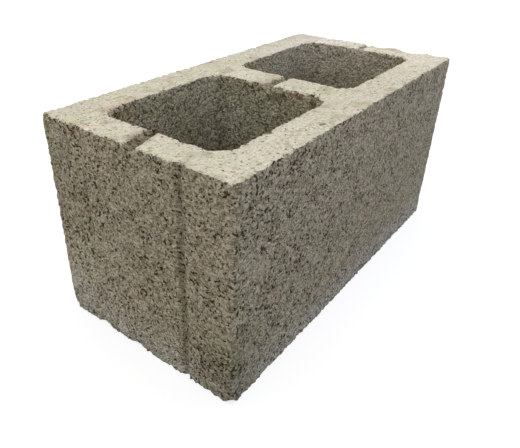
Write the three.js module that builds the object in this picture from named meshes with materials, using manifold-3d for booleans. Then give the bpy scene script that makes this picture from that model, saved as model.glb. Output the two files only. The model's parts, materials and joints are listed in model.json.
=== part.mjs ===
// A hollow two-cell concrete block: one pressed casting, drawn in millimetres, +Z up.
// The origin is the centre of its underside, the length runs along X and the width along Y.
//
// Such a block is pressed in a steel mould box that stands on a pallet. Two tapered steel cores,
// hung from a bar that crosses the mouth of the mould, leave the two cells. The box is then lifted
// off upwards, so the cells are wide at the top and narrow at the bottom, the outer walls stay
// upright, and the bar leaves a shallow channel across the top of each web.

import * as THREE from 'three';
import { mergeVertices } from 'three/addons/utils/BufferGeometryUtils.js';
import Module from 'manifold-3d';

const wasm = await Module();
wasm.setup();

// ---- the block as it leaves the mould ----
const blockLength = 400;
const blockWidth = 200;
const blockHeight = 200;
const uprightArrisRadius = 4; // rounding of the four upright outer corners

// ---- its walls, measured at the top, where they are thinnest ----
const faceShellThickness = 35.5; // the two long walls
const endWebThickness = 32; // the two short outer walls
const centreWebThickness = 36; // the wall between the cells

// ---- the tapered cores ----
const coreDraftDegrees = 0.9; // lean of every cell wall
const cellCornerRadius = 15; // plan rounding of a cell at its narrow lower end

// ---- the two upright grooves in each end face ----
const grooveSpacing = 108; // from one groove's centre line to the other's
const grooveWidth = 8; // across its mouth
const grooveDepth = 4;
const grooveRootRadius = 2.5;

// ---- the channel that the core bar leaves along the top of the webs ----
const barChannelMouth = 15; // across, at the top of the block
const barChannelFloor = 10; // across, at the bottom of the channel
const barChannelDepth = 4.5;

// ---- how finely the curves are cut, and how far a cutter runs past the block ----
const arcSteps = 10;
const overrun = 20;

// What follows from those sizes.
const halfLength = blockLength / 2;
const coreLean = blockHeight * Math.tan(THREE.MathUtils.degToRad(coreDraftDegrees));
const cellLengthAtTop = (blockLength - centreWebThickness) / 2 - endWebThickness;
const cellWidthAtTop = blockWidth - 2 * faceShellThickness;
const cellCentreX = (centreWebThickness + cellLengthAtTop) / 2;

const concrete = new THREE.MeshStandardMaterial({ color: 0x7a7464, roughness: 0.95, metalness: 0 });

// A closed geometry as a solid that can be cut, and the cut solid as a geometry again.
function toSolid(geometry) {
  const bare = geometry.clone();
  bare.deleteAttribute('normal');
  bare.deleteAttribute('uv');
  const merged = mergeVertices(bare, 1e-4);
  return new wasm.Manifold(new wasm.Mesh({
    numProp: 3,
    vertProperties: new Float32Array(merged.attributes.position.array),
    triVerts: new Uint32Array(merged.index.array),
  }));
}

function toGeometry(solid) {
  const mesh = solid.getMesh();
  const geometry = new THREE.BufferGeometry();
  geometry.setAttribute('position', new THREE.BufferAttribute(new Float32Array(mesh.vertProperties), 3));
  geometry.setIndex(new THREE.BufferAttribute(new Uint32Array(mesh.triVerts), 1));
  geometry.computeVertexNormals();
  return geometry;
}

function extrudeUp(outline, height) {
  return new THREE.ExtrudeGeometry(outline, { depth: height, bevelEnabled: false, curveSegments: arcSteps });
}

// A rectangle about the origin with rounded corners, drawn anticlockwise.
function roundedRectangle(length, width, radius) {
  const x = length / 2 - radius;
  const y = width / 2 - radius;
  const outline = new THREE.Shape();
  outline.absarc(x, -y, radius, -Math.PI / 2, 0);
  outline.absarc(x, y, radius, 0, Math.PI / 2);
  outline.absarc(-x, y, radius, Math.PI / 2, Math.PI);
  outline.absarc(-x, -y, radius, Math.PI, Math.PI * 1.5);
  return outline;
}

// The full block before anything is taken out of it.
function plainBlock() {
  return toSolid(extrudeUp(roundedRectangle(blockLength, blockWidth, uprightArrisRadius), blockHeight));
}

// One core: a rounded rectangle in plan that grows by the draft on its way up. Each point of such an
// outline lies one corner radius outside a smaller, sharp rectangle, so it is moved straight away
// from that rectangle, and the walls and the corners grow together.
function taperedCore(centreX) {
  const length = cellLengthAtTop - 2 * coreLean;
  const width = cellWidthAtTop - 2 * coreLean;
  const inner = new THREE.Vector2(length / 2 - cellCornerRadius, width / 2 - cellCornerRadius);
  const core = extrudeUp(roundedRectangle(length, width, cellCornerRadius), blockHeight + 2 * overrun);
  core.translate(0, 0, -overrun);

  const corners = core.attributes.position;
  for (let i = 0; i < corners.count; i += 1) {
    const point = new THREE.Vector2(corners.getX(i), corners.getY(i));
    const nearest = point.clone().clamp(inner.clone().negate(), inner);
    const growth = coreLean * (corners.getZ(i) / blockHeight);
    point.sub(nearest).multiplyScalar(1 + growth / cellCornerRadius).add(nearest);
    corners.setXY(i, point.x, point.y);
  }
  core.translate(centreX, 0, 0);
  return toSolid(core);
}

// The cutter of one end groove: a V with a round root that reaches into the block from the +X end,
// drawn in plan with its mouth at x = 0 and carried past the face by the overrun.
function endGrooveOutline() {
  const halfMouth = grooveWidth / 2;
  const rootX = -grooveDepth + grooveRootRadius;
  // where the flank, drawn from the edge of the mouth, touches the root circle
  const reach = Math.hypot(rootX, halfMouth);
  const touchAngle = Math.atan2(halfMouth, -rootX) + Math.acos(grooveRootRadius / reach);
  const outline = new THREE.Shape();
  outline.moveTo(overrun, -halfMouth);
  outline.lineTo(overrun, halfMouth);
  outline.lineTo(0, halfMouth);
  outline.absarc(rootX, 0, grooveRootRadius, touchAngle, 2 * Math.PI - touchAngle);
  outline.lineTo(0, -halfMouth);
  return outline;
}

// Two grooves on the one end, and the same two turned half round for the other.
function endGrooves() {
  const grooves = [];
  for (const turn of [0, Math.PI]) {
    for (const side of [-1, 1]) {
      const groove = extrudeUp(endGrooveOutline(), blockHeight + 2 * overrun);
      groove.translate(halfLength, side * grooveSpacing / 2, -overrun);
      groove.rotateZ(turn);
      grooves.push(toSolid(groove));
    }
  }
  return grooves;
}

// The channel across the webs: a trapezium extruded along the whole length.
function barChannel() {
  const flare = (barChannelMouth - barChannelFloor) / (2 * barChannelDepth);
  const halfFloor = barChannelFloor / 2;
  const halfAbove = barChannelMouth / 2 + flare * overrun;
  const section = new THREE.Shape();
  section.moveTo(-halfFloor, -barChannelDepth);
  section.lineTo(halfFloor, -barChannelDepth);
  section.lineTo(halfAbove, overrun);
  section.lineTo(-halfAbove, overrun);
  section.closePath();
  const channel = extrudeUp(section, blockLength + 2 * overrun);
  channel.translate(0, 0, -halfLength - overrun);
  // the section's x becomes Y and its y becomes Z, so the extrusion runs along X
  channel.rotateX(Math.PI / 2);
  channel.rotateZ(Math.PI / 2);
  channel.translate(0, 0, blockHeight);
  return toSolid(channel);
}

function hollowBlock() {
  let block = plainBlock();
  const cutters = [taperedCore(-cellCentreX), taperedCore(cellCentreX), ...endGrooves(), barChannel()];
  for (const cutter of cutters) block = block.subtract(cutter);
  return toGeometry(block);
}

const part = new THREE.Group();
const block = new THREE.Mesh(hollowBlock(), concrete);
block.name = 'concrete_block';
part.add(block);

export default part;
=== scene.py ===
# %% [markdown]
# A hollow concrete block, finished around its solid model. The solid has every size of the mould;
# what it lacks is what happens to the casting afterwards: open, gritty walls, worn arrises, torn
# channels, and a pale skin on the top where the press head wiped it. Each step below says what the
# real thing is, how it could be made, and why it is made the way it is here.

# %% Load the solid model as a fixed frame
import json
import math

import bmesh
import bpy
from mathutils import Matrix, Vector

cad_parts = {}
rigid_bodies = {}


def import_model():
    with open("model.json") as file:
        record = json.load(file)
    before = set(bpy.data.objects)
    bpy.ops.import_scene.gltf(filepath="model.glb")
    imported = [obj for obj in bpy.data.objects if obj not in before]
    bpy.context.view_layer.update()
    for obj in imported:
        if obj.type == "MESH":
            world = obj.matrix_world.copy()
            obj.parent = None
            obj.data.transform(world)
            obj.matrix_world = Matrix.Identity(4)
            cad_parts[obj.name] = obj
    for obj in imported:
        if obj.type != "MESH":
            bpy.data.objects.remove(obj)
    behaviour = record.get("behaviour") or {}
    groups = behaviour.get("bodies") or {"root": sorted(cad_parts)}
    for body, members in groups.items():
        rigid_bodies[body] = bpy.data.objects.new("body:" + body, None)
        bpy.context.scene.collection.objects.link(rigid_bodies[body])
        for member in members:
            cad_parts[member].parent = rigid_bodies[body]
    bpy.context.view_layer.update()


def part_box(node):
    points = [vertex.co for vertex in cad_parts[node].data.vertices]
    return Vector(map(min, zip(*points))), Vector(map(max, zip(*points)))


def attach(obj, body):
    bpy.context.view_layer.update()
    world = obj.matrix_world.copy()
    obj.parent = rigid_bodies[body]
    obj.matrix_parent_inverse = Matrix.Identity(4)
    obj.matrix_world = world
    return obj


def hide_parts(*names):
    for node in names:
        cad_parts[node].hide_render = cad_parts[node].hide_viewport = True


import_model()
MM = 0.001
block_low, block_high = (Vector(corner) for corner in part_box("concrete_block"))
block_size = block_high - block_low
block_middle = (block_low + block_high) / 2
top = block_high.z
print("the block measures", [round(side / MM, 1) for side in block_size], "mm")

# %% [markdown]
# First the casting as the mould gives it. The walls could be extruded up from a plan, but tapered
# cells, grooves and a crossing channel are simpler to take out of a full body, just as the cores
# of the mould do. So a cube is added at its size for the body and for every core, its faces and
# edges are shaped in edit mode, and Boolean modifiers take the cores out.

# %% Small helpers for working by hand
def use_only(thing):
    """An operator acts on all that is selected, so everything else is let go first."""
    bpy.ops.object.select_all(action="DESELECT")
    thing.select_set(True)
    bpy.context.view_layer.objects.active = thing


def keep_place_in_mesh(thing, name):
    bpy.ops.object.transform_apply(location=True, rotation=True, scale=True)
    thing.name = name
    return thing


def add_box(name, low, high):
    bpy.ops.object.select_all(action="DESELECT")
    low, high = Vector(low), Vector(high)
    bpy.ops.mesh.primitive_cube_add(size=1, location=(low + high) / 2, scale=high - low)
    return keep_place_in_mesh(bpy.context.object, name)


def edit_where(thing, kind, wanted):
    """Opens edit mode with only the faces or edges selected that pass the test."""
    use_only(thing)
    bpy.ops.object.mode_set(mode="EDIT")
    bpy.ops.mesh.select_mode(type=kind)
    bpy.ops.mesh.select_all(action="DESELECT")
    shape = bmesh.from_edit_mesh(thing.data)
    for part in shape.faces if kind == "FACE" else shape.edges:
        part.select = wanted(part)
    shape.select_flush_mode()
    bmesh.update_edit_mesh(thing.data)


def leave_edit_mode():
    bpy.ops.object.mode_set(mode="OBJECT")


# %% Sizes of the mould
FACE_SHELL = 35.5 * MM
END_WEB = 32 * MM
CENTRE_WEB = 36 * MM
CORE_DRAFT = math.radians(0.9)
CELL_CORNER = 17 * MM
CORNER_STEPS = 6
ARRIS = 3 * MM
ARRIS_STEPS = 4
GROOVE_SPACING = 108 * MM
GROOVE_WIDTH = 8 * MM
GROOVE_DEPTH = 4 * MM
CHANNEL_DEPTH = 4.5 * MM
OVERRUN = 20 * MM

cell_length = (block_size.x - CENTRE_WEB) / 2 - END_WEB
cell_width = block_size.y - 2 * FACE_SHELL
cell_middle = (CENTRE_WEB + cell_length) / 2
core_lean = math.tan(CORE_DRAFT)
print("each cell opens", round(cell_length / MM, 1), "by", round(cell_width / MM, 1), "mm")

# %% The full body, with its upright arrises eased
def is_upright(edge):
    along = (edge.verts[1].co - edge.verts[0].co).normalized()
    return abs(along.z) > 0.9


body = add_box("concrete_casting", block_low, block_high)
edit_where(body, "EDGE", is_upright)
bpy.ops.mesh.bevel(offset=ARRIS, segments=ARRIS_STEPS, affect="EDGES")
leave_edit_mode()
print("body:", len(body.data.polygons), "faces")

# %% [markdown]
# A core has to slide out of the wet concrete, so it is wider at the top. The lower face of a box
# is made smaller in edit mode, which gives all four walls their lean at once, and the upright
# edges are bevelled afterwards, so that the round corners follow the lean.

# %% Taking one shape out of another
def modify(thing, kind, **settings):
    """Adds a modifier, sets it and applies it at once."""
    use_only(thing)
    modifier = thing.modifiers.new(kind.title(), kind)
    for setting, value in settings.items():
        setattr(modifier, setting, value)
    bpy.ops.object.modifier_apply(modifier=modifier.name)


def join_or_cut(thing, operation, tool):
    modify(thing, "BOOLEAN", operation=operation, solver="EXACT", object=tool)
    bpy.data.objects.remove(tool)


# %% The tapered cells
def faces_down(face):
    return face.normal.z < -0.9


def add_core(name, middle_x):
    half_x = cell_length / 2 + core_lean * OVERRUN
    half_y = cell_width / 2 + core_lean * OVERRUN
    low = (middle_x - half_x, -half_y, -OVERRUN)
    high = (middle_x + half_x, half_y, top + OVERRUN)
    core = add_box(name, low, high)
    narrower = core_lean * (top + 2 * OVERRUN)
    ratio = (1 - narrower / half_x, 1 - narrower / half_y, 1)
    edit_where(core, "FACE", faces_down)
    bpy.ops.transform.resize(value=ratio, center_override=(middle_x, 0, 0))
    leave_edit_mode()
    edit_where(core, "EDGE", is_upright)
    bpy.ops.mesh.bevel(offset=CELL_CORNER, segments=CORNER_STEPS, affect="EDGES")
    leave_edit_mode()
    return core


for name, side in (("left_core", -1), ("right_core", 1)):
    join_or_cut(body, "DIFFERENCE", add_core(name, side * cell_middle))
print("body with cells:", len(body.data.polygons), "faces")

# %% [markdown]
# Ribs in the mould leave two upright grooves in each end, which key the mortar. A four-sided
# cylinder is a ready-made V on both sides of the face. One groove of the near end has come out
# shallow, because the mix did not pack against its rib, and the rib of the other one is bent a
# little towards the middle.

# %% The grooves of both ends
SHALLOW = 0.6
BENT_RIB = 3.5 * MM


def add_rib(end, side, depth, bend):
    bpy.ops.object.select_all(action="DESELECT")
    bpy.ops.mesh.primitive_cylinder_add(
        vertices=4, radius=1, depth=top + 2 * OVERRUN,
        location=(end * block_size.x / 2, side * (GROOVE_SPACING / 2 - bend), top / 2),
        scale=(depth, GROOVE_WIDTH / 2, 1))
    return keep_place_in_mesh(bpy.context.object, "rib")


for end in (-1, 1):
    for side in (-1, 1):
        came_out_shallow = end < 0 < side
        is_bent = end < 0 and side < 0
        depth = GROOVE_DEPTH * (SHALLOW if came_out_shallow else 1)
        join_or_cut(body, "DIFFERENCE", add_rib(end, side, depth, BENT_RIB * is_bent))
print("body with grooves:", len(body.data.polygons), "faces")

# %% [markdown]
# The cores hang from a bar, and the bar presses a channel into the top of each web. Fresh mix
# creeps back into it once the bar is gone, so the channel is a little different on every web. A
# box is given its flared sides by making its upper face wider, and is cut once out of each web.

# %% The channels across the webs
# all in millimetres and degrees
BAR_LENGTH = 60
CHANNELS = {
    # web: (middle x, middle y, mouth, floor, depth, turn)
    "near end": (-186, 0, 13, 8, CHANNEL_DEPTH / MM, -12),
    "centre": (0, 1.5, 10, 6, 3.0, 0),
    "far end": (190, 0, 10, 6, 2.0, 0),
}


def faces_up(face):
    return face.normal.z > 0.9


def add_bar(middle_x, middle_y, mouth, floor, depth, turn):
    half_long = BAR_LENGTH / 2
    low = Vector((middle_x - half_long, middle_y - floor / 2, top / MM - depth)) * MM
    high = Vector((middle_x + half_long, middle_y + floor / 2, top / MM + depth)) * MM
    bar = add_box("bar", low, high)
    edit_where(bar, "FACE", faces_up)
    ratio_above = 2 * mouth / floor - 1
    middle = Vector((middle_x, middle_y, top / MM)) * MM
    bpy.ops.transform.resize(value=(1, ratio_above, 1), center_override=middle)
    bpy.ops.mesh.select_all(action="SELECT")
    bpy.ops.transform.rotate(value=math.radians(turn), orient_axis="Z", center_override=middle)
    leave_edit_mode()
    return bar


for sizes in CHANNELS.values():
    join_or_cut(body, "DIFFERENCE", add_bar(*sizes))
print("body with channels:", len(body.data.polygons), "faces")

# %% [markdown]
# A block has a life before it is laid. Stones have broken out of its arrises, and crumbs have
# stayed where the bar tore the webs. Sculpting would do, but a list of places can be corrected
# one by one. Each chip or crumb is a rough stone: an ico sphere whose points are shaken, which is
# cut out of the body or joined to it.

# %% A rough stone
STONE_STEPS = 3
STONE_SHAKE = 0.1


def add_stone(place, size, seed):
    """Place and size are in millimetres; the seed sets the shake."""
    bpy.ops.object.select_all(action="DESELECT")
    bpy.ops.mesh.primitive_ico_sphere_add(
        subdivisions=STONE_STEPS, radius=1, location=Vector(place) * MM, scale=Vector(size) * MM)
    stone = bpy.context.object
    bpy.ops.object.mode_set(mode="EDIT")
    bpy.ops.mesh.select_all(action="SELECT")
    bpy.ops.transform.vertex_random(offset=STONE_SHAKE * min(size) * MM, seed=seed)
    leave_edit_mode()
    return keep_place_in_mesh(stone, "stone")


print("each stone has", 20 * 4 ** (STONE_STEPS - 1), "faces")

# %% Crumbs that stuck to the body
CRUMBS = [
    # the mouth of the near channel, over the cell
    ((-171, 6, 195.5), (4, 3.5, 3.4)), ((-176, 3.5, 194.5), (3.5, 3, 2.6)),
    ((-167.5, 11, 196), (3, 2.2, 3)), ((-163.5, 8, 195), (4.2, 3, 3.2)),
    ((-161, 3, 194.4), (4.4, 3.2, 3.4)), ((-157, 6, 193.6), (3.2, 3, 3)),
    ((-163.8, -2.5, 194.4), (4, 3, 3.5)), ((-168, -8.5, 194.5), (3, 3, 3.4)),
    ((-184, -2, 195), (3, 2.4, 1.8)),
    # the near rim of that cell, which the core did not quite fill out
    ((-168, 50, 191), (6, 9, 7.5)), ((-161, 60.5, 191), (5, 4, 5.5)), ((-167.5, 36.5, 192), (3, 4, 5.5)),
    ((-168, 29, 193), (2.4, 4, 5)), ((-168.5, 22, 194), (2.2, 4, 4)),
    # its far rim
    ((-152, 64, 195.5), (3, 2, 2.6)), ((-145, 64.6, 195), (2.4, 1.8, 2.4)),
    ((-137.5, 65, 195.5), (2.2, 1.8, 2)),
    # its corner by the centre web, and the torn rim of that web
    ((-22, -59, 192), (5, 6, 7)), ((-19, -1, 193), (2.6, 3, 3.2)),
    ((-19.2, -7.5, 193.5), (2.8, 3.2, 3.2)), ((-18.8, -14, 194.5), (2.6, 3, 3)),
    ((-18.4, -4, 189.5), (2, 2.5, 2)), ((-18.4, -11, 190.5), (2, 2.4, 2)),
    ((-18.6, 21, 196), (2.4, 3, 2.4)),
    # mix that filled the top of the left groove
    ((-196.2, 54, 188), (3.4, 5, 11)),
]
for seed, (place, size) in enumerate(CRUMBS, 1):
    join_or_cut(body, "UNION", add_stone(place, size, seed))
print(len(CRUMBS), "crumbs,", len(body.data.polygons), "faces")

# %% Chips out of the arrises
CHIPS = [
    # along the top of the near end
    ((-202, -6, 201), (5, 9, 4.5)), ((-201.5, -54, 201), (4, 4.5, 4.5)),
    ((-202, 69, 201.5), (3.4, 4.5, 3.2)), ((-202, 59, 200.8), (3.4, 8, 2.6)),
    ((-202, -40, 201.5), (3.5, 5, 3)), ((-202, 26, 202), (4, 6, 3.5)),
    ((-202, -91, 201), (3.5, 4, 3.5)), ((-202.5, -68, 196), (4.5, 3.5, 3.5)),
    ((-202, -63, 186), (3.5, 4, 3)),
    # the lower corners and the lower arris
    ((-202, -102, -4), (10, 10, 11)), ((-201, 102, -2), (8, 10, 10)), ((-202, 50, -2), (4, 7, 7)),
    ((-202, 8, -2), (5, 10, 6.5)), ((-202, -76, -2), (5, 6, 4)), ((-152, -102, -1.5), (7, 4, 4.5)),
    ((-98, -102, -2), (9, 4, 4.5)), ((104, -102, -2), (7, 4, 4)), ((202, -103, -3), (7, 8, 8)),
    # the rims of the cells
    ((-139, 67, 202), (4, 4, 4)), ((-148.5, 66.5, 198), (2.4, 2.6, 2)), ((-91, 67, 202), (5, 4, 4)),
    ((-71, -67, 202.5), (4, 3.5, 4)), ((-115, -67, 202.5), (9, 4, 4)), ((-21, 35, 202.5), (4, 7, 4)),
    ((20, 18, 202), (4, 5, 4)), ((20, -38, 202.5), (4, 3, 4)), ((-22, -23, 202), (4, 4, 4)),
    # the wall of the centre web under its torn rim
    ((-17.5, -1.5, 186.5), (1.6, 2.4, 1.8)), ((-17.5, -10, 187.5), (1.4, 2.2, 1.3)),
    # the arris of the long side and the upper corners
    ((202, -102, 202), (9, 6, 6)), ((3, -102, 202), (5, 4, 4)), ((-155, -102.5, 197.5), (8, 4.5, 4.5)),
    ((-139, -102, 199.5), (6, 4, 2.6)), ((202, 103, 203), (7, 7, 7)), ((203, -16, 203), (13, 13, 6)),
    ((204, -54, 203), (15, 19, 6)), ((203, -84, 203), (10, 11, 5.5)), ((-202, 102, 202), (4, 4, 4)),
    # small marks in the top
    ((-171.5, -54.5, 200.4), (1.6, 3.4, 2)), ((-177.5, -61, 200.4), (2.6, 1.8, 2)),
    ((-74.2, -88.8, 200.3), (4.4, 1.5, 2)), ((-142, -96.5, 200.4), (3.6, 1.8, 2.2)),
    ((-181, 44, 200.4), (3, 2, 1.8)),
]
for seed, (place, size) in enumerate(CHIPS, 40):
    join_or_cut(body, "DIFFERENCE", add_stone(place, size, seed))
print(len(CHIPS), "chips,", len(body.data.polygons), "faces")

# %% [markdown]
# Nothing on a pressed block is sharp or flat, and a plain mesh has no points to move in the
# middle of a wall. A voxel Remesh turns the body into an even skin of small quads, closed all
# round, and melts the crumbs into it.

# %% An even skin of small quads
VOXEL = 1.25 * MM
modify(body, "REMESH", mode="VOXEL", voxel_size=VOXEL, adaptivity=0)
print("skin:", len(body.data.polygons), "quads")

# %% [markdown]
# The grit of the walls will be worked out by nodes, and dozens of Math nodes linked one by one
# can't be read any more. So node maths is written as sums: a Wire holds one socket, and adding,
# multiplying or comparing wires adds the Math nodes. The same class serves the nodes that move the
# mesh and the nodes that colour it, so that a pit which is modelled is also a pit which is dark.

# %% Node maths as Python expressions
class Wire:
    def __init__(self, tree, socket):
        self.tree = tree
        self.socket = socket

    def math(self, operation, *values):
        return add_node(self.tree, "ShaderNodeMath", {"operation": operation}, [self, *values])

    def __add__(self, other):
        return self.math("ADD", other)

    def __sub__(self, other):
        return self.math("SUBTRACT", other)

    def __rsub__(self, other):
        return add_node(self.tree, "ShaderNodeMath", {"operation": "SUBTRACT"}, [other, self])

    def __mul__(self, other):
        return self.math("MULTIPLY", other)

    __radd__ = __add__
    __rmul__ = __mul__

    def least(self, other):
        return self.math("MINIMUM", other)

    def most(self, other):
        return self.math("MAXIMUM", other)

    def size(self):
        return self.math("ABSOLUTE")

    def step(self, start, end):
        """Runs smoothly from 0 to 1 while this goes from start to end."""
        settings = {"interpolation_type": "SMOOTHSTEP"}
        sockets = {"Value": self, "From Min": start, "From Max": end}
        return add_node(self.tree, "ShaderNodeMapRange", settings, sockets)

    def vector(self, operation, *values, **sockets):
        sockets.update(enumerate([self, *values]))
        return add_node(self.tree, "ShaderNodeVectorMath", {"operation": operation}, sockets)

    def part(self, letter):
        return add_node(self.tree, "ShaderNodeSeparateXYZ", {}, [self], letter)


# %% One way to add any node
def named(sockets, name):
    return next(socket for socket in sockets if socket.name == name and socket.enabled)


def add_node(tree, kind, settings, sockets, output=None):
    """Any node: its settings first, then a value or a wire for each socket, by place or name."""
    node = tree.nodes.new(kind)
    for setting, value in settings.items():
        setattr(node, setting, value)
    for key, value in sockets.items() if isinstance(sockets, dict) else enumerate(sockets):
        socket = node.inputs[key] if isinstance(key, int) else named(node.inputs, key)
        if isinstance(value, Wire):
            tree.links.new(value.socket, socket)
        else:
            socket.default_value = value
    enabled = [socket for socket in node.outputs if socket.enabled]
    return Wire(tree, named(node.outputs, output) if output else enabled[0])


# %% [markdown]
# Block concrete is barely wet when it is pressed: grit and small stones, each with a film of
# paste, touching where they happen to touch. What shows is grains with open pits between them,
# some round, some like short worms. A picture of pits would repeat and stretch over the corners,
# but noise can be read at any point of the surface: a round pit lies where one noise is high, and
# a winding one follows the line along which another noise is zero.

# %% Noise
NOISE_ROUGHNESS = 0.55


def noise(place, size, detail, shift=0.0):
    """Clouds about `size` metres across, around 0: two thirds of it lies within 1 of that."""
    moved = place.vector("ADD", (shift, 0.7 * shift, -shift))
    sockets = {"Vector": moved, "Scale": 1 / size, "Detail": detail, "Roughness": NOISE_ROUGHNESS}
    # more detail draws the values together, so they are spread out more
    spread = 8 + 3.6 * min(detail, 3)
    return (add_node(place.tree, "ShaderNodeTexNoise", {}, sockets, "Fac") - 0.5) * spread


# %% Pits between the grains
def in_grooves(place):
    """1 deep in the grooves on the -Y side, half that on the +Y side, 0 on the end faces."""
    right_half = 1 - place.part("Y").step(-1 * MM, 1 * MM)
    near_end = 1 - place.part("X").step(-1 * MM, 1 * MM)
    bend = BENT_RIB * right_half * near_end
    from_rib = (place.part("Y").size() - GROOVE_SPACING / 2 + bend).size()
    depth = block_high.x - place.part("X").size()
    across = 1 - from_rib.step(GROOVE_WIDTH / 2, GROOVE_WIDTH / 2 + 2.5 * MM)
    return across * depth.step(1.0 * MM, 2.3 * MM) * (0.5 + 0.5 * right_half)


def loose_mix_and_shade(place):
    """Where the mix did not close up, and where its crowded dark pits paint shade: under the upper
    arrises, and high in the grooves.
    """
    height = place.part("Z")
    under_arris = height.step(top - 13 * MM, top - 6 * MM)
    high_up = height.step(20 * MM, 110 * MM) * (1 - under_arris)
    return 0.1 * under_arris + 0.4 * in_grooves(place) * high_up


def pits(place):
    """1 in the open pits between the grains, 0 on the grains."""
    crowd = 0.3 * noise(place, 15 * MM, 2, 0.3) + loose_mix_and_shade(place)
    round_ones = (noise(place, 3.0 * MM, 2, 0.1) + crowd).step(1.1, 2.0)
    line = 1 - noise(place, 4.2 * MM, 2, 0.7).size().step(0.06, 0.34)
    winding_ones = line * (noise(place, 5.5 * MM, 1, 1.3) + crowd).step(0.55, 1.6) * 0.9
    return round_ones.most(winding_ones)


# %% [markdown]
# The press head closes the top: it wipes a thin skin of paste over the grit, which ends in a
# ragged line just under the arris. The skin could be a mesh of its own or a painted mask. Here
# the mask is worked out from height and direction, and noise frays its border.

# %% Where the pressed skin lies
def pressed_skin(place, normal):
    """1 on the wiped top of the block, 0 on its walls, with a ragged border on the arris."""
    fray = noise(place, 3.2 * MM, 2, 2.9)
    facing_up = (normal.part("Z") + 0.12 * fray).step(0.5, 0.8)
    height = place.part("Z") + 0.5 * MM * fray
    return facing_up * height.step(top - 2.1 * MM, top - 1.2 * MM)


# %% [markdown]
# Arrises wear first. Blurring the positions of the points would round every edge alike; here the
# blurred place only says which way an edge wears, and noise says how far, so that one stretch is
# still crisp and the next has crumbled. Bevels could not do that. Then the walls get their
# relief, which only ever goes inwards: the block never grows out of its mould.

# %% A tree that moves points
def new_geometry_tree(name):
    tree = bpy.data.node_groups.new(name, "GeometryNodeTree")
    for way in ("INPUT", "OUTPUT"):
        tree.interface.new_socket("Geometry", in_out=way, socket_type="NodeSocketGeometry")
    return tree, Wire(tree, tree.nodes.new("NodeGroupInput").outputs[0])


def finish_with_offset(tree, mesh, offset):
    moved = add_node(tree, "GeometryNodeSetPosition", {}, {"Geometry": mesh, "Offset": offset})
    tree.links.new(moved.socket, tree.nodes.new("NodeGroupOutput").inputs[0])
    return tree


# %% Worn arrises
BLUR_STEPS = 8


def wear_tree():
    tree, mesh = new_geometry_tree("wear")
    place = add_node(tree, "GeometryNodeInputPosition", {}, [])
    blurred = add_node(tree, "GeometryNodeBlurAttribute", {"data_type": "FLOAT_VECTOR"},
                       {"Value": place, "Iterations": BLUR_STEPS})
    worn = 0.45 + 0.25 * noise(place, 22 * MM, 2) + 0.6 * noise(place, 5 * MM, 2, 4.0)
    inwards = blurred.vector("SUBTRACT", place)
    offset = inwards.vector("SCALE", Scale=worn.most(0.0).least(2.0))
    return finish_with_offset(tree, mesh, offset)


modify(body, "NODES", node_group=wear_tree())
print("worn, now", [round(side / MM, 1) for side in body.dimensions], "mm")

# %% Relief of the walls and the top
PIT_DEPTH = 0.6
LEAST_DEPTH = 0.25


def relief_tree():
    """Depths are worked out in millimetres."""
    tree, mesh = new_geometry_tree("relief")
    place = add_node(tree, "GeometryNodeInputPosition", {}, [])
    normal = add_node(tree, "GeometryNodeInputNormal", {}, [])
    skin = pressed_skin(place, normal)
    wavy = 0.12 * noise(place, 12 * MM, 3) + 0.18 * noise(place, 4.5 * MM, 2, 2.0) + 0.3
    rough_depth = PIT_DEPTH * pits(place) + wavy.most(LEAST_DEPTH)
    smooth_depth = (0.12 * noise(place, 30 * MM, 3) + 0.35).most(LEAST_DEPTH)
    depth = (rough_depth * (1 - skin) + smooth_depth * skin) * MM
    sunk = place.vector("ADD", normal.vector("SCALE", Scale=0 - depth))
    inside_mould = sunk.vector("MAXIMUM", block_low).vector("MINIMUM", block_high)
    return finish_with_offset(tree, mesh, inside_mould.vector("SUBTRACT", place))


modify(body, "NODES", node_group=relief_tree())
print("rough, now", [round(side / MM, 1) for side in body.dimensions], "mm")

# %% [markdown]
# The skin now has several times the triangles that a piece should have. Decimate takes points away where
# the surface is flat and leaves them on pits and arrises. Then the piece is hung on the block's body and
# takes the place of its solid.

# %% Thin the mesh and put it in place
MOST_TRIANGLES = 198_000
kept_share = MOST_TRIANGLES / (2 * len(body.data.polygons))
modify(body, "DECIMATE", ratio=kept_share, use_collapse_triangulate=True)
use_only(body)
bpy.ops.object.shade_smooth()
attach(body, "root")
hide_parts("concrete_block")
print("block mesh:", len(body.data.polygons), "triangles")

# %% [markdown]
# One material for the whole casting, since it is one mix: what differs is how the surface was
# made. A wall is gritty and full of pits; the top was wiped by the press head, which brought pale
# paste up. Two materials on two sets of faces would meet in a hard edge, so both finishes are
# written as a colour and a height, and the skin mask mixes them.

# %% Mixing colours
def mix_colours(tree, factor, first, second, blend="MIX"):
    sockets = {"Factor": factor, "A": first, "B": second}
    return add_node(tree, "ShaderNodeMix", {"data_type": "RGBA", "blend_type": blend}, sockets)


def tinted(colour, tint):
    """A colour, or a grey tone, times a tint."""
    return mix_colours(colour.tree, 1.0, colour, tint, "MULTIPLY")


def tint_where(mask, colour, tint):
    return mix_colours(colour.tree, mask, colour, tinted(colour, tint))


# %% [markdown]
# What shows of a wall is sand and small stones, each in a film of grey-brown paste, with thin gaps where
# lumps of the mix meet, which are painted dark as shade. Noise alone would look like felt. Voronoi cells
# give every stone a tone and a height of its own and a crisp border, once the place they read is shaken
# a little. Towards the far end the mix is more even, so the grit is toned down along the block.

# %% Stones with crisp borders
def shaken(place, size, amount):
    """The place moved about by a noise, so that straight borders come out ragged."""
    sockets = {"Vector": place, "Scale": 1 / size, "Detail": 1}
    cloud = add_node(place.tree, "ShaderNodeTexNoise", {}, sockets, "Color")
    return place.vector("ADD", cloud.vector("SUBTRACT", (0.5, 0.5, 0.5)).vector("SCALE", Scale=amount))


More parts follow.
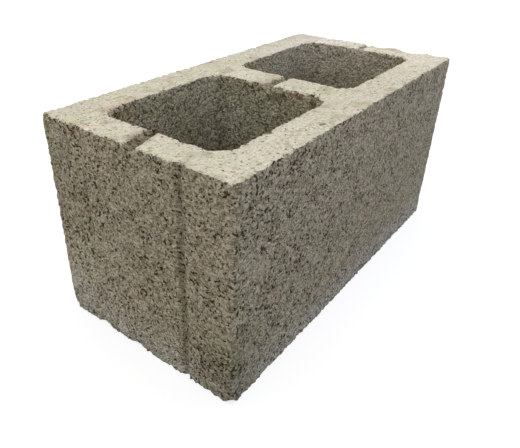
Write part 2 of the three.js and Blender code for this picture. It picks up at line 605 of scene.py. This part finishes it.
def stones(place, size):
    """Ragged cells: three random numbers for each, and how far a point is from the cell's border."""
    sockets = {"Vector": shaken(place, 0.9 * size, 0.9 * size), "Scale": 1 / size}
    numbers = add_node(place.tree, "ShaderNodeTexVoronoi", {}, sockets, "Color")
    settings = {"feature": "DISTANCE_TO_EDGE"}
    to_border = add_node(place.tree, "ShaderNodeTexVoronoi", settings, sockets, "Distance")
    return numbers, to_border


# %% Where the cells are
def inside_cells(place):
    """1 on the walls of the two cells, 0 on the outer faces and the top."""
    from_middle, from_centre_line = place.part("X").size(), place.part("Y").size()
    within_ends = 1 - from_middle.step(block_high.x - 24 * MM, block_high.x - 20 * MM)
    within_shells = 1 - from_centre_line.step(block_high.y - 26 * MM, block_high.y - 22 * MM)
    return within_ends * within_shells * (1 - place.part("Z").step(top - 8 * MM, top - 1 * MM))


# %% The gritty walls
PASTE_COLOUR = (0.280, 0.237, 0.140, 1)
GRAIN_COLOUR = (0.592, 0.524, 0.394, 1)
PIT_SHADE_COLOUR = (0.032, 0.024, 0.006, 1)
STONE_SIZE = 3.6 * MM
LUMP_SIZE = 6.5 * MM


def gritty_wall(place, normal):
    tree = place.tree
    in_cell = inside_cells(place)
    in_far_cell = in_cell * place.part("X").step(0, 20 * MM)
    far_along = place.part("X").step(block_low.x * 0.6, block_high.x)
    even = (1 - 0.3 * far_along) * (1 - 0.2 * in_far_cell)
    grit = noise(place, 1.5 * MM, 1, 0.5)
    grain = noise(place, 2.8 * MM, 2, 1.9)
    numbers, to_border = stones(place, STONE_SIZE)
    tone = even * (0.2 * grit + 0.15 * grain + 0.4 * (numbers.part("X") - 0.5)) + 0.5
    tone = tone + 0.18 * (to_border.step(0.02, 0.25) - 0.6)
    # the gaps between lumps are painted dark: painted shade in the crevices
    shaded_gaps_between_lumps = 1 - stones(place, LUMP_SIZE)[1].step(0.0, 0.16)
    broken = noise(place, 9 * MM, 2, 2.2).step(-0.6, 0.9)
    tone = tone - 0.42 * shaded_gaps_between_lumps * broken + 0.05
    colour = mix_colours(tree, tone, PASTE_COLOUR, GRAIN_COLOUR)
    colour = tinted_walls(place, normal, colour, in_cell, in_far_cell)
    open_pit = pits(place) * even
    # the pits are painted nearly black, a little less in the cells: painted shade in the hollows, on top
    # of their relief
    colour = mix_colours(tree, open_pit * (0.9 - 0.2 * in_cell), colour, PIT_SHADE_COLOUR)
    height = 0.13 * grit + 0.16 * grain + 0.35 * numbers.part("Y")
    height = height + 0.45 * to_border.step(0, 0.4) - 0.8 * open_pit
    return colour, height


# %% [markdown]
# One mix doesn't dry to one colour: it turns a little greener or rosier from patch to patch. The other
# tints are painted light and shade, two of them mixed with dirt: small ledges that face up are darker,
# with dirt and painted shade; the grooves are darker, with dirt and painted shade; the walls of the
# cells are greyer and darker as painted shade, and those of the far cell paler as painted light; the
# long sides are cooler and darker as painted shade; and the foot is cooler and paler as painted light
# from below. Each could be a material of its own, but then its border would be hard. So each is a soft
# mask: the ledges are mixed with the dark colour of the pits, and all others have a tint that multiplies
# the colour below.

# %% Tints of the walls, with painted light and shade
GREENISH = (0.985, 1.0, 0.97, 1)
ROSY = (1.01, 0.985, 1.0, 1)
CELL_SHADE_COLOUR = (0.88, 0.91, 0.90, 1)
FAR_CELL_LIGHT_COLOUR = (1.05, 1.065, 1.09, 1)
GROOVE_DIRT_AND_SHADE = (0.76, 0.75, 0.71, 1)
SIDE_SHADE_COLOUR = (0.91, 0.925, 0.985, 1)
FOOT_LIGHT_COLOUR = (1.15, 1.19, 1.36, 1)


def tinted_walls(place, normal, colour, in_cell, in_far_cell):
    patch = noise(place, 34 * MM, 2, 5.0).step(-1.2, 1.2)
    colour = tinted(colour, mix_colours(place.tree, patch, GREENISH, ROSY))
    # small ledges facing up are mixed with the dark pit colour: dirt, and painted shade
    ledge = normal.part("Z").step(0.25, 0.9)
    colour = mix_colours(place.tree, ledge * 0.4, colour, PIT_SHADE_COLOUR)
    outside = 1 - in_cell
    on_a_side = normal.part("Y").size().step(0.4, 0.8) * outside
    at_the_foot = (1 - place.part("Z").step(8 * MM, 48 * MM)) * outside
    # the cells are tinted greyer and darker: painted shade in the recesses
    colour = tint_where(in_cell, colour, CELL_SHADE_COLOUR)
    # the far cell is tinted paler and bluer: painted light
    colour = tint_where(in_far_cell, colour, FAR_CELL_LIGHT_COLOUR)
    # the grooves are darkened: dirt, and painted shade in the recess
    colour = tint_where(in_grooves(place), colour, GROOVE_DIRT_AND_SHADE)
    # the long sides are tinted darker and cooler: painted shade
    colour = tint_where(on_a_side, colour, SIDE_SHADE_COLOUR)
    # the foot is tinted paler and bluer: painted light from below
    return tint_where(at_the_foot, colour, FOOT_LIGHT_COLOUR)


# %% [markdown]
# The pressed top is not one flat cream. Paste was smeared along the block, so there are faint
# streaks along X; it dried in warmer and greener patches; and here and there it did not close
# over the grit, which leaves small brown pocks and a stain or two. A streak needs no picture: it
# is a noise that reads a place squeezed along X.

# %% The pale top
TOP_TONE = 0.555
TOP_WARM = (1.02, 0.92, 0.725, 1)
TOP_GREEN = (0.985, 0.93, 0.695, 1)
POCK_COLOUR = (0.32, 0.268, 0.166, 1)
STAIN_COLOUR = (0.72, 0.65, 0.58, 1)


def pale_top(place):
    tree = place.tree
    grit = noise(place, 1.6 * MM, 1, 6.1)
    grain = noise(place, 3.2 * MM, 2, 7.3)
    cloud = noise(place, 28 * MM, 3, 0.9)
    squeezed = place.vector("MULTIPLY", (0.3, 1, 1))
    streak = noise(squeezed, 4 * MM, 2, 8.2)
    tone = TOP_TONE * (1 + 0.045 * grit + 0.045 * grain + 0.02 * cloud + 0.02 * streak)
    hue = mix_colours(tree, noise(place, 18 * MM, 2, 3.3).step(-1.3, 1.3), TOP_WARM, TOP_GREEN)
    colour = tinted(tone, hue)
    stain = (noise(place, 24 * MM, 3, 9.4) + 0.5 * grain).step(0.9, 2.6)
    colour = tint_where(stain * 0.7, colour, STAIN_COLOUR)
    pock = (noise(place, 2.6 * MM, 2, 4.4) + 0.6 * cloud).step(2.5, 3.4)
    colour = mix_colours(tree, pock * 0.55, colour, POCK_COLOUR)
    height = 0.04 * grit + 0.08 * grain + 0.04 * streak - 0.3 * pock
    return colour, height


# %% [markdown]
# Some places follow no rule: brown stains where the bar and the near core were drawn, painted shade on a
# lower corner, paler stretches of the near end. They could be painted on an image, which would need a UV
# map and would stay as coarse as it was painted. Here each is a soft round spot, listed one by one, that
# can be moved or dimmed by changing one line. The last two groups are no stains but painted light: they
# lift places that the lamps leave a little too dark.

# %% Stains, painted shade and painted light
def spot(place, middle, reach):
    """1 around a place given in millimetres, fading to 0 at its reach."""
    distance = place.vector("DISTANCE", Vector(middle) * MM)
    return 1 - distance.step(0.35 * reach * MM, reach * MM)


SPOTS = [
    # each row: middle, reach, tint and strength
    # by the near channel, on the rims of the near cell and over the shallow groove
    ((-150, 64, 184), 28, (0.98, 0.87, 0.87, 1), 1.0),
    ((-130, 71, 200), 12, (0.90, 0.80, 0.77, 1), 0.8),
    ((-186, 0, 196), 15, (0.74, 0.68, 0.66, 1), 0.9),
    ((-164, 3, 196), 14, (0.62, 0.56, 0.54, 1), 1.0),
    ((-158, 5, 195), 8, (0.78, 0.75, 0.73, 1), 0.9),
    ((-38, -58, 200), 14, (0.97, 0.90, 0.86, 1), 0.8),
    ((-200, 59, 200), 12, (0.80, 0.72, 0.62, 1), 0.8),
    # on the centre web and the walls just under it
    ((0, 2, 197), 12, (0.78, 0.82, 0.74, 1), 0.8),
    ((5, -17, 200), 10, (0.93, 0.89, 0.93, 1), 0.9),
    ((-4, -30, 200), 9, (0.85, 0.88, 0.92, 1), 0.9),
    ((-2, -50, 200), 14, (0.96, 1.02, 0.97, 1), 0.9),
    ((-19, -29, 194), 9, (0.95, 0.86, 0.80, 1), 0.9),
    ((-21, -47, 190), 14, (1.08, 1.04, 1.00, 1), 0.9),
    # small marks in the top
    ((-175, -58, 200), 6, (0.86, 0.86, 0.82, 1), 0.9),
    ((-74, -88.5, 200), 5, (0.66, 0.64, 0.58, 1), 0.9),
    # painted shade on the lower corner of the near end
    ((-200, -92, 45), 48, (0.87, 0.88, 0.86, 1), 1.0),
    ((-196, -97, 8), 55, (0.80, 0.80, 0.76, 1), 1.0),
    # paler stretches of the near end
    ((-200, 88, 55), 50, (1.09, 1.12, 1.16, 1), 1.0),
    ((-200, 45, 60), 75, (1.13, 1.14, 1.16, 1), 1.0),
    ((-200, 48, 182), 28, (1.16, 1.13, 1.15, 1), 1.0),
    # lifts in the cells, where the lamps leave the corners and a wall too dark
    ((-18, 5, 145), 65, (1.12, 1.14, 1.18, 1), 1.0),
    ((-22, 62, 158), 48, (1.27, 1.30, 1.45, 1), 1.0),
    ((168, 58, 180), 34, (1.25, 1.27, 1.34, 1), 1.0),
    ((22, 62, 160), 36, (1.10, 1.12, 1.24, 1), 1.0),
    # painted light that lifts the top, over the centre web and towards the far end
    ((140, 90, 200), 120, (1.03, 1.03, 1.10, 1), 1.0),
    ((0, 45, 200), 32, (1.07, 1.07, 1.10, 1), 1.0),
    ((200, -30, 200), 120, (1.16, 1.14, 1.20, 1), 1.0),
]


def with_stains_and_painted_light_and_shade(place, colour):
    for middle, reach, tint, strength in SPOTS:
        colour = tint_where(spot(place, middle, reach) * strength, colour, tint)
    return colour


print(len(SPOTS), "soft spots")

# %% [markdown]
# Concrete is dull all over: almost no shine, and the same roughness in every pit. So the shader
# takes two fixed numbers, and all that varies is its colour and its normal. The heights of both
# finishes go through one Bump node, for the grit that is too fine for the mesh.

# %% The concrete
ROUGHNESS = 0.95
SHINE = 0.1
BUMP_HEIGHT = 1.2 * MM


def concrete():
    material = bpy.data.materials.new("concrete")
    material.use_nodes = True
    tree = material.node_tree
    surface = tree.nodes["Principled BSDF"]
    surface.inputs["Roughness"].default_value = ROUGHNESS
    surface.inputs["Specular IOR Level"].default_value = SHINE
    place = add_node(tree, "ShaderNodeTexCoord", {}, [], "Object")
    normal = add_node(tree, "ShaderNodeNewGeometry", {}, [], "Normal")
    skin = pressed_skin(place, normal)
    wall_colour, wall_height = gritty_wall(place, normal)
    top_colour, top_height = pale_top(place)
    colour = with_stains_and_painted_light_and_shade(place, mix_colours(tree, skin, wall_colour, top_colour))
    height = wall_height * (1 - skin) + top_height * skin
    sockets = {"Strength": 1.0, "Distance": BUMP_HEIGHT, "Height": height}
    bump = add_node(tree, "ShaderNodeBump", {}, sockets)
    tree.links.new(colour.socket, surface.inputs["Base Color"])
    tree.links.new(bump.socket, surface.inputs["Normal"])
    print("concrete:", len(tree.nodes), "nodes")
    return material


body.data.materials.clear()
body.data.materials.append(concrete())

# %% [markdown]
# The camera stands to the left of the near corner, a little higher than the block, and looks
# down along its length. Its heading and dip are turned in one after the other, as on a tripod
# head, and a small shift sets the block in the frame.

# %% Camera
PICTURE_WIDTH = 520
PICTURE_HEIGHT = 448
FOCAL_PIXELS = 517.6
CAMERA_PLACE = (-0.4206, -0.2668, 0.3458)
CAMERA_HEADING = 38.07
CAMERA_DIP = 30.49
CAMERA_ROLL = 0.48
AXIS_PIXEL = (227.5, 210.2)
SENSOR = 36
NEAREST_SEEN = 0.01


def add_camera():
    heading = Matrix.Rotation(math.radians(CAMERA_HEADING - 90), 4, "Z")
    dip = Matrix.Rotation(math.radians(90 - CAMERA_DIP), 4, "X")
    roll = Matrix.Rotation(math.radians(CAMERA_ROLL), 4, "Z")
    bpy.ops.object.camera_add(location=CAMERA_PLACE, rotation=(heading @ dip @ roll).to_euler())
    camera = bpy.context.object
    camera.data.sensor_width = SENSOR
    camera.data.lens = FOCAL_PIXELS / PICTURE_WIDTH * SENSOR
    camera.data.shift_x = (PICTURE_WIDTH / 2 - AXIS_PIXEL[0]) / PICTURE_WIDTH
    camera.data.shift_y = (AXIS_PIXEL[1] - PICTURE_HEIGHT / 2) / PICTURE_WIDTH
    camera.data.clip_start = NEAREST_SEEN
    bpy.context.scene.camera = camera
    print("lens", round(camera.data.lens, 1), "mm")


add_camera()

# %% [markdown]
# The block stands on a white sweep under a bright, even sky, which is what reaches down into the
# cells. One broad lamp hangs overhead, because grit only shows when some light comes along the
# wall, and a small cool one stands low in front of the far end of the long side. The floor is
# white to the eye and grey to the light, so that it neither blows out nor floods the lower walls.

# %% Floor
FLOOR_WIDTH = 8
FLOOR_BOUNCE = (0.28, 0.28, 0.28, 1)
FLOOR_SEEN = (0.27, 0.27, 0.27, 1)
NO_GLOW = (0, 0, 0, 1)
GLOW_BY_THE_BLOCK = (0.775, 0.775, 0.775, 1)
GLOW_FAR_AWAY = (0.95, 0.95, 0.95, 1)
# from here to there, in metres from the block's middle, the glow rises
GLOW_RISES = (0.5, 1.6)


def rays_to_the_eye(tree):
    kinds = ("Is Camera Ray", "Is Glossy Ray", "Is Transmission Ray")
    path = tree.nodes.new("ShaderNodeLightPath")
    camera_ray, glossy_ray, clear_ray = (Wire(tree, path.outputs[kind]) for kind in kinds)
    return camera_ray.most(glossy_ray).most(clear_ray)


def add_floor():
    bpy.ops.object.select_all(action="DESELECT")
    bpy.ops.mesh.primitive_plane_add(size=FLOOR_WIDTH)
    floor = bpy.context.object
    floor.name = "floor"
    material = bpy.data.materials.new("floor")
    material.use_nodes = True
    tree = material.node_tree
    surface = tree.nodes["Principled BSDF"]
    surface.inputs["Roughness"].default_value = 1
    surface.inputs["Specular IOR Level"].default_value = 0
    surface.inputs["Emission Strength"].default_value = 1
    seen = rays_to_the_eye(tree)
    distance = add_node(tree, "ShaderNodeTexCoord", {}, [], "Object").vector("LENGTH")
    glow = mix_colours(tree, distance.step(*GLOW_RISES), GLOW_BY_THE_BLOCK, GLOW_FAR_AWAY)
    glow = mix_colours(tree, seen, NO_GLOW, glow)
    colour = mix_colours(tree, seen, FLOOR_BOUNCE, FLOOR_SEEN)
    tree.links.new(colour.socket, surface.inputs["Base Color"])
    tree.links.new(glow.socket, surface.inputs["Emission Color"])
    floor.data.materials.append(material)


add_floor()
print("floor", FLOOR_WIDTH, "m wide")

# %% Lamps and sky
SKY = (0.87, 0.885, 0.905, 1)
WHITE = (1, 1, 1, 1)
LAMPS = {
    # name: (place, size in metres, watts, colour)
    "overhead": ((-0.25, 0.1, 2.1), 1.6, 14, (1.0, 0.98, 0.92)),
    "cool_softbox": ((0.75, -0.7, 0.75), 0.6, 2.4, (0.40, 0.62, 1.0)),
}


def add_softbox(name, place, size, power, colour):
    turn = (block_middle - Vector(place)).to_track_quat("-Z", "Y").to_euler()
    bpy.ops.object.light_add(type="AREA", location=place, rotation=turn)
    lamp = bpy.context.object
    lamp.name = name
    lamp.data.size = size
    lamp.data.energy = power
    lamp.data.color = colour


def add_sky():
    sky = bpy.data.worlds.new("sky")
    bpy.context.scene.world = sky
    sky.use_nodes = True
    tree = sky.node_tree
    colour = mix_colours(tree, rays_to_the_eye(tree), SKY, WHITE)
    tree.links.new(colour.socket, tree.nodes["Background"].inputs["Color"])


for name, settings in LAMPS.items():
    add_softbox(name, *settings)
add_sky()
bpy.context.scene.view_settings.view_transform = "Standard"
print(len(LAMPS), "lamps")
